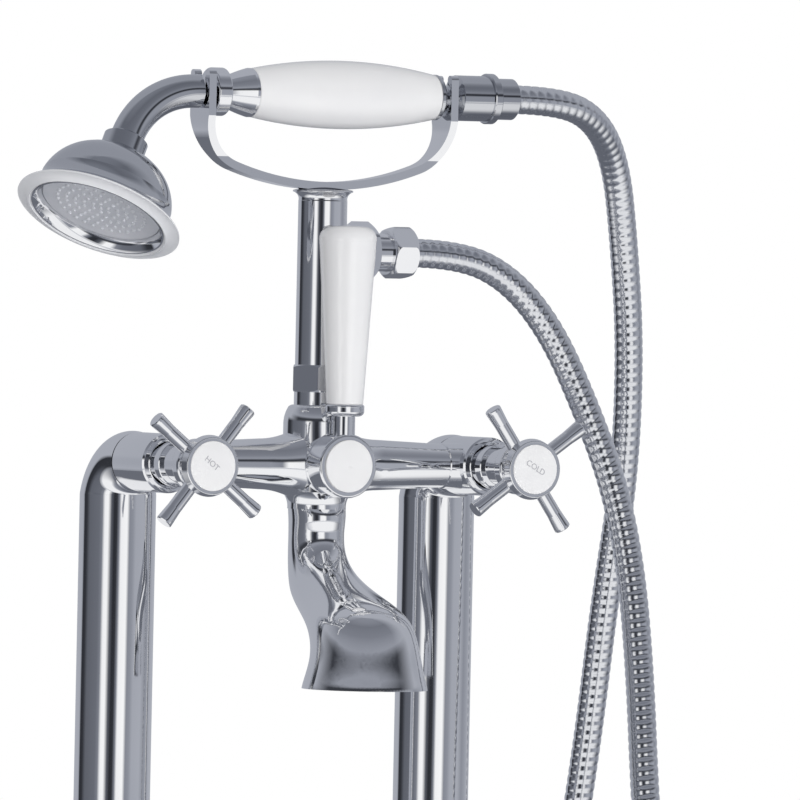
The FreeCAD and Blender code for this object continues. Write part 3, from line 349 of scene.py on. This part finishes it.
def routeLine(points):
    data = bpy.data.curves.new("hoseLine", "CURVE")
    data.dimensions = "3D"
    spline = data.splines.new("NURBS")
    spline.points.add(len(points) - 1)
    for point, stop in zip(spline.points, points):
        point.co = (*stop, 1)
    spline.order_u = 3
    spline.use_endpoint_u = True
    spline.resolution_u = hose["fineness"]
    line = meshFrom(data)
    path = [vertex.co.copy() for vertex in line.vertices]
    bpy.data.meshes.remove(line)
    return path


def carriedFrames(path):
    # the distance run so far, and the place with two side directions, carried along without twist
    side = Vector((0, 1, 0))
    distance = 0.0
    distances = []
    frames = []
    for index, point in enumerate(path):
        before = path[max(index - 1, 0)]
        after = path[min(index + 1, len(path) - 1)]
        along = (after - before).normalized()
        side = (side - along * side.dot(along)).normalized()
        distance += (point - before).length
        distances.append(distance)
        frames.append((point, side, along.cross(side)))
    return distances, frames


def frameAt(distances, frames, distance):
    index = min(max(bisect.bisect_left(distances, distance) - 1, 0), len(frames) - 2)
    share = (distance - distances[index]) / (distances[index + 1] - distances[index])
    return [low.lerp(high, share) for low, high in zip(frames[index], frames[index + 1])]


def woundMesh(path):
    # each ring climbs one pitch in its turn, and its end joins the ring that starts there
    distances, frames = carriedFrames(path)
    length = distances[-1]
    turns = round(length / hose["pitch"])
    pitch = length / turns
    steps = len(hose["profile"])
    sides = hose["sides"]
    rings = (turns + 1) * steps + 1
    vertices = []
    for ring in range(rings):
        depth = (1 - hose["profile"][ring % steps]) * hose["groove"]
        radius = hose["diameter"] / 2 - depth
        begin = (ring / steps - 1) * pitch
        for corner in range(sides):
            distance = min(max(begin + pitch * corner / sides, 0.0), length)
            point, side, across = frameAt(distances, frames, distance)
            angle = 2 * math.pi * corner / sides
            vertices.append(point + (side * math.cos(angle) + across * math.sin(angle)) * radius)
    faces = []
    for ring in range(rings - 1):
        for corner in range(sides):
            low = ring * sides + corner
            if corner < sides - 1:
                faces.append((low, low + 1, low + sides + 1, low + sides))
            elif ring + steps + 1 < rings:
                joined = (ring + steps) * sides
                faces.append((low, joined, joined + sides, low + sides))
    print("hose length", round(length, 4), "turns", turns)
    return vertices, faces


def makeHose():
    path = routeLine(hose["route"])
    vertices, faces = woundMesh(path)
    made = meshObject("woundHose", vertices, faces, finishes["hose_steel"])
    closeSeams(made.data, hose["seam"])
    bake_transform(made)
    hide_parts("hose")


makeHose()

# The rose's front: ring, cone and face plate with nozzles, in metres. Distances along
# are from the face plate's front the way it faces, and radii from its middle
rose = {
    "sides": 128,
    "seam": 0.000002,
    "sharpFrom": 35,  # degrees
    "facesBelow": -0.3,  # the plate is the largest flat whose normal sinks more than this
    "ringBack": 0.0027,
    "ringEdge": 0.0041,
    "ringFront": 0.0063,
    "ringOuter": 0.0418,
    "ringInner": 0.0342,
    "ringRound": 0.0010,  # the rounding behind the ring's rim, and how far it bulges
    "ringRoundSag": 0.0003,
    "ringHollow": -0.0007,
    "ringLip": 0.0012,  # the rounding at the ring's inside, its depth and bulge
    "ringLipDepth": 0.0009,
    "ringLipSag": -0.0003,
    "coneRim": 0.0058,
    "coneWall": 0.0008,
    "coneSag": 0.0005,
    "faceRadius": 0.0305,
    "faceThick": 0.002,
    "faceGap": 0.0001,
    "faceEdge": 0.0003,
    "screwShows": 0.0001,  # the plate's front lies this much behind the screw's head
    "nozzleRadius": 0.0010,
    "nozzleRise": 0.0009,
    "nozzleSides": 10,
    "nozzleSteps": [(1.0, 0.0), (0.9, 0.6), (0.5, 1.0)],  # shares of its radius and rise
    "nozzleRings": [(0.0, 1), (0.0045, 6), (0.009, 12), (0.0135, 18), (0.018, 24), (0.0225, 30)],
}


def faceFrame():
    # the middle of the face plate's front and the direction that it faces
    flats = {}
    for polygon in nodes["rose_face"].data.polygons:
        key = tuple(round(part, 2) for part in polygon.normal)
        flats[key] = flats.get(key, 0.0) + polygon.area
    lower = [key for key in flats if key[2] < rose["facesBelow"]]
    facing = Vector(max(lower, key=lambda key: flats[key])).normalized()
    low, high = [Vector(corner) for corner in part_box("rose_face")]
    middle = (low + high) / 2 + facing * rose["faceThick"] / 2
    print("rose faces", [round(part, 3) for part in facing])
    return middle, facing


def sidesOf(facing):
    # two directions square to the way it faces: one level, one upward
    level = Vector((0, 0, 1)).cross(facing).normalized()
    return level, facing.cross(level)


def arcBetween(first, second, sag, steps=6):
    # points of a curve from first to second, bulging by sag to the left of the way there
    along = second[0] - first[0]
    across = second[1] - first[1]
    points = []
    for step in range(steps + 1):
        share = step / steps
        swell = 4 * share * (1 - share) * sag / math.hypot(along, across)
        points.append((first[0] + along * share - across * swell, first[1] + across * share + along * swell))
    return points


def lathed(name, outline, middle, facing, material):
    # a closed outline of (along, radius) turned about the axis through middle
    level, upward = sidesOf(facing)
    sides = rose["sides"]
    count = len(outline)
    vertices = []
    faces = []
    for side in range(sides):
        turn = 2 * math.pi * side / sides
        outward = level * math.cos(turn) + upward * math.sin(turn)
        for along, radius in outline:
            vertices.append(middle + facing * along + outward * radius)
        for index in range(count):
            here = side * count + index
            above = side * count + (index + 1) % count
            there = (here + count) % (sides * count)
            beside = (above + count) % (sides * count)
            faces.append((here, above, beside, there))
    made = meshObject(name, vertices, faces, material)
    closeSeams(made.data, rose["seam"])
    made.data.set_sharp_from_angle(angle=math.radians(rose["sharpFrom"]))
    return made


def ringOutline():
    inner, outer = rose["ringInner"], rose["ringOuter"]
    behind = (rose["ringBack"], outer - rose["ringRound"])
    rim = (rose["ringEdge"], outer)
    lip = (rose["ringFront"], inner + rose["ringLip"])
    inside = (rose["ringFront"] - rose["ringLipDepth"], inner)
    outline = [(rose["ringBack"], inner), behind]
    outline += arcBetween(behind, rim, rose["ringRoundSag"])[1:]
    outline += arcBetween(rim, lip, rose["ringHollow"], 10)[1:]
    outline += arcBetween(lip, inside, rose["ringLipSag"])[1:]
    return outline


def coneOutline():
    back, radius, wall = -rose["faceThick"], rose["faceRadius"], rose["coneWall"]
    rim, inner = rose["coneRim"], rose["ringInner"]
    outline = [(back, radius), (back, radius + wall), (rim, inner), (rim, inner - wall)]
    outline += arcBetween((rim, inner - wall), (0.0, radius), rose["coneSag"])[1:]
    return outline


def plateOutline():
    back, front = -rose["faceThick"], -rose["screwShows"]
    radius, edge = rose["faceRadius"] - rose["faceGap"], rose["faceEdge"]
    return [(back, 0.0), (back, radius), (front - edge, radius), (front, radius - edge), (front, 0.0)]


def makeNozzles(middle, facing):
    level, upward = sidesOf(facing)
    sides = rose["nozzleSides"]
    steps = rose["nozzleSteps"]
    vertices = []
    faces = []
    for reach, count in rose["nozzleRings"]:
        shift = 0.5 if count % 12 == 0 else 0.0  # every second ring is turned by half a step
        for index in range(count):
            turn = 2 * math.pi * (index + shift) / count
            centre = middle + (level * math.cos(turn) + upward * math.sin(turn)) * reach
            first = len(vertices)
            for width, rise in steps:
                for corner in range(sides):
                    angle = 2 * math.pi * corner / sides
                    around = (level * math.cos(angle) + upward * math.sin(angle)) * rose["nozzleRadius"]
                    vertices.append(centre + around * width + facing * rose["nozzleRise"] * rise)
            for step in range(len(steps) - 1):
                for corner in range(sides):
                    here = first + step * sides + corner
                    beside = first + step * sides + (corner + 1) % sides
                    faces.append((here, beside, beside + sides, here + sides))
            top = first + (len(steps) - 1) * sides
            faces.append(range(top, top + sides))
    print("nozzles:", sum(count for _, count in rose["nozzleRings"]))
    return meshObject("roseNozzles", vertices, faces, finish("nozzleRubber", nozzleLook))


def makeRoseFront():
    middle, facing = faceFrame()
    turned = [
        ("roseEnamelRing", ringOutline(), "rose_ring", "white_ring"),
        ("roseCone", coneOutline(), "rose_liner", "chrome"),
        ("roseFacePlate", plateOutline(), "rose_face", "face_grey"),
    ]
    for name, outline, node, slot in turned:
        piece = lathed(name, outline, middle, facing, finishes[slot])
        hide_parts(node)
        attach(piece, "handset")
    nozzles = makeNozzles(middle - facing * rose["screwShows"], facing)
    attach(nozzles, "handset")


makeRoseFront()

# Words on the index discs, laid on their crowns
letters = {
    "height": 0.0042,
    "thick": 0.00004,
    "crown": 0.0009,
    # disc, word, body, slant in degrees, and how far from the disc's middle
    "words": [
        ("index_disc_left", "HOT", "handle_left", -40, (-0.0012, 0.0012)),
        ("index_disc_right", "COLD", "handle_right", -30, (-0.0004, 0.0008)),
    ],
}


def flatWord(word):
    data = bpy.data.curves.new(word, "FONT")
    data.body = word
    data.size = letters["height"]
    data.extrude = letters["thick"]
    data.align_x = "CENTER"
    data.align_y = "CENTER"
    return meshFrom(data)


def makeWord(disc, word, slant, shift, ink):
    low, high = [Vector(corner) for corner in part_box(disc)]
    centre = (low + high) / 2
    radius = (high.x - low.x) / 2
    lean = math.radians(slant)
    flat = flatWord(word)
    vertices = []
    for vertex in flat.vertices:
        x, y, z = vertex.co
        across = x * math.cos(lean) - y * math.sin(lean) + shift[0]
        upward = x * math.sin(lean) + y * math.cos(lean) + shift[1]
        fall = letters["crown"] * (across**2 + upward**2) / radius**2
        vertices.append((centre.x + across, low.y + fall - z - letters["thick"] / 2, centre.z + upward))
    faces = [tuple(polygon.vertices) for polygon in flat.polygons]
    bpy.data.meshes.remove(flat)
    return meshObject("word" + word.title(), vertices, faces, ink, smooth=False)


def makeLetters():
    ink = finish("greyPrint", printLook)
    for disc, word, body, slant, shift in letters["words"]:
        made = makeWord(disc, word, slant, shift, ink)
        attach(made, body)
    print("words on the index discs")


makeLetters()

# Studio: white surroundings for the camera, a strip-lit room for the metal
studio = {
    "ambient": (0.6, 0.6, 0.606),
    "floorColour": (0.80, 0.80, 0.81),
    "floorRoughness": 0.7,
    "floorRadius": 3.0,
    "floorSides": 64,
    "fade": (0.35, 1.6),  # metres from the middle over which the floor turns white
    # brightness of what stands round the object, by degrees to the right of the camera
    "strips": [
        (-180, 0.46),
        (-127, 0.44),
        (-122, 0.36),
        (-117, 0.03),
        (-104, 0.04),
        (-90, 0.14),
        (-55, 0.17),
        (-45, 0.24),
        (-37, 0.95),
        (-27, 1.0),
        (-17, 0.12),
        (-8, 0.03),
        (0, 0.04),
        (7, 0.25),
        (13, 0.95),
        (31, 1.0),
        (39, 0.28),
        (50, 0.32),
        (60, 0.42),
        (88, 0.44),
        (106, 0.30),
        (122, 0.36),
        (145, 0.46),
        (180, 0.46),
    ],
    # brightness overhead in front, by the sine of the height above the horizon
    "overhead": [(0.0, 0.05), (0.3, 0.05), (0.4, 0.34), (0.6, 0.24), (0.85, 0.20), (1.0, 0.28)],
    "behind": 0.44,
    "lowInFront": 0.95,
    "lowBehind": 0.17,
    # sines of height over which the strips give way to what is overhead, and to what is low
    "stripsEnd": (0.12, 0.22),
    "lowEnds": (-0.32, -0.2),
    "frontBegins": (-0.35, 0.3),  # cosines from the camera's side over which behind turns to front
    # brightness of the floor in front as the metal sees it, by the share of its radius: dark close by is a
    # painted shadow of the object
    "paintedFloorInFront": [(0.0, 0.13), (0.09, 0.19), (0.2, 0.34), (0.28, 0.95), (0.75, 0.95), (1.0, 0.45)],
    "chill": 0.14,  # how much bluer the darker greys are
}


def toned(value):
    cast = studio["chill"] * (1 - value)
    return (value * (1 - cast), value * (1 - 0.5 * cast), value * (1 + cast), 1)


def rampFrom(tree, stops, source):
    made = tree.nodes.new("ShaderNodeValToRGB")
    ramp = made.color_ramp
    while len(ramp.elements) < len(stops):
        ramp.elements.new(0.5)
    for element, (position, value) in zip(ramp.elements, stops):
        element.position = position
        element.color = toned(value)
    tree.links.new(source, made.inputs["Fac"])
    return made.outputs["Color"]


def connect(tree, value, socket):
    # a socket takes the output of another node, or a fixed value
    if isinstance(value, bpy.types.NodeSocket):
        tree.links.new(value, socket)
    else:
        socket.default_value = value


def vectorMaths(tree, operation, first, second=(0, 0, 0)):
    made = tree.nodes.new("ShaderNodeVectorMath")
    made.operation = operation
    connect(tree, first, made.inputs[0])
    connect(tree, second, made.inputs[1])
    return made.outputs


def maths(tree, operation, first, second):
    made = tree.nodes.new("ShaderNodeMath")
    made.operation = operation
    connect(tree, first, made.inputs[0])
    connect(tree, second, made.inputs[1])
    return made.outputs[0]


def mixed(tree, factor, first, second):
    made = tree.nodes.new("ShaderNodeMix")
    made.data_type = "RGBA"
    tree.links.new(factor, made.inputs["Factor"])
    connect(tree, first, made.inputs["A"])
    connect(tree, second, made.inputs["B"])
    return made.outputs["Result"]


def inFront(tree, vector):
    # 1 on the camera's side of the object, 0 behind it
    flat = vectorMaths(tree, "MULTIPLY", vector, (1, 1, 0))["Vector"]
    unit = vectorMaths(tree, "NORMALIZE", flat)["Vector"]
    facing = vectorMaths(tree, "DOT_PRODUCT", unit, backFrom(camera["turn"], 0))["Value"]
    return ranged(tree, facing, 0.0, 1.0, studio["frontBegins"])


def strips(tree, way):
    # the strips by the angle about the upright axis, and the height that goes with it
    turned = tree.nodes.new("ShaderNodeVectorRotate")
    turned.rotation_type = "Z_AXIS"
    turned.inputs["Angle"].default_value = math.radians(-camera["turn"])
    tree.links.new(way, turned.inputs["Vector"])
    parts = tree.nodes.new("ShaderNodeSeparateXYZ")
    tree.links.new(turned.outputs["Vector"], parts.inputs[0])
    x, y, height = parts.outputs
    angle = maths(tree, "ARCTAN2", x, maths(tree, "MULTIPLY", y, -1.0))
    share = maths(tree, "ADD", maths(tree, "DIVIDE", angle, 2 * math.pi), 0.5)
    stops = [(turn / 360 + 0.5, value) for turn, value in studio["strips"]]
    return rampFrom(tree, stops, share), height


def makeWorld():
    world = bpy.data.worlds.new("studio")
    scene.world = world
    world.use_nodes = True
    tree = world.node_tree
    way = tree.nodes.new("ShaderNodeTexCoord").outputs["Generated"]
    around, height = strips(tree, way)
    front = inFront(tree, way)
    top = mixed(tree, front, toned(studio["behind"]), rampFrom(tree, studio["overhead"], height))
    low = mixed(tree, front, toned(studio["lowBehind"]), toned(studio["lowInFront"]))
    room = mixed(tree, ranged(tree, height, 0.0, 1.0, studio["stripsEnd"]), around, top)
    room = mixed(tree, ranged(tree, height, 1.0, 0.0, studio["lowEnds"]), room, low)
    rays = tree.nodes.new("ShaderNodeLightPath").outputs
    shiny = maths(tree, "MAXIMUM", rays["Is Glossy Ray"], rays["Is Transmission Ray"])
    light = mixed(tree, shiny, (*studio["ambient"], 1), room)
    seen = mixed(tree, rays["Is Camera Ray"], light, (1, 1, 1, 1))
    background = tree.nodes["Background"]
    tree.links.new(seen, background.inputs["Color"])
    background.inputs["Strength"].default_value = 1


def shaderMix(tree, factor, first, second):
    made = tree.nodes.new("ShaderNodeMixShader")
    for source, socket in zip((factor, first, second), made.inputs):
        tree.links.new(source, socket)
    return made.outputs[0]


def floorMaterial():
    material = bpy.data.materials.new("paleFloor")
    material.use_nodes = True
    tree = material.node_tree
    shader = tree.nodes["Principled BSDF"]
    shader.inputs["Base Color"].default_value = (*studio["floorColour"], 1)
    shader.inputs["Roughness"].default_value = studio["floorRoughness"]
    place = tree.nodes.new("ShaderNodeTexCoord").outputs["Object"]
    reach = vectorMaths(tree, "LENGTH", place)["Value"]
    rays = tree.nodes.new("ShaderNodeLightPath").outputs
    # the camera sees the floor fade into the white surroundings
    white = tree.nodes.new("ShaderNodeEmission")
    fade = ranged(tree, reach, 0.0, 1.0, studio["fade"])
    faded = maths(tree, "MULTIPLY", rays["Is Camera Ray"], fade)
    seen = shaderMix(tree, faded, shader.outputs[0], white.outputs[0])
    # the metal sees a glow on the floor instead of its lit surface: dark close by, a painted shadow of the
    # object, and bright further out
    paintedFloorGlow = tree.nodes.new("ShaderNodeEmission")
    share = maths(tree, "DIVIDE", reach, studio["floorRadius"])
    ahead = rampFrom(tree, studio["paintedFloorInFront"], share)
    paintedGround = mixed(tree, inFront(tree, place), toned(studio["lowBehind"]), ahead)
    tree.links.new(paintedGround, paintedFloorGlow.inputs["Color"])
    surface = shaderMix(tree, rays["Is Glossy Ray"], seen, paintedFloorGlow.outputs[0])
    tree.links.new(surface, tree.nodes["Material Output"].inputs["Surface"])
    return material


def makeFloor():
    radius, sides = studio["floorRadius"], studio["floorSides"]
    corners = []
    for index in range(sides):
        angle = 2 * math.pi * index / sides
        corners.append((radius * math.cos(angle), radius * math.sin(angle), 0))
    floor = meshObject("studioFloor", corners, [range(sides)], floorMaterial(), smooth=False)


# Soft lamps that the metal doesn't mirror, at a height and turn about one point
lampAim = (0, -0.04, 0.75)
lamps = {
    "keyLamp": {"turn": 10, "lift": -5, "distance": 3.0, "size": 1.2, "power": 34},
    "fillLamp": {"turn": -75, "lift": 20, "distance": 3.4, "size": 2.0, "power": 9},
    "backLamp": {"turn": 160, "lift": 40, "distance": 3.0, "size": 1.6, "power": 10},
}


def makeLamps():
    for name, lamp in lamps.items():
        data = bpy.data.lights.new(name, "AREA")
        data.shape = "DISK"
        data.size = lamp["size"]
        data.energy = lamp["power"]
        made = bpy.data.objects.new(name, data)
        scene.collection.objects.link(made)
        back = backFrom(lamp["turn"], lamp["lift"])
        made.location = Vector(lampAim) + back * lamp["distance"]
        made.rotation_mode = "QUATERNION"
        made.rotation_quaternion = (-back).to_track_quat("-Z", "Y")
        made.visible_glossy = False
        made.visible_camera = False


makeWorld()
makeFloor()
makeLamps()
scene.view_settings.view_transform = "Standard"
print("studio lit")
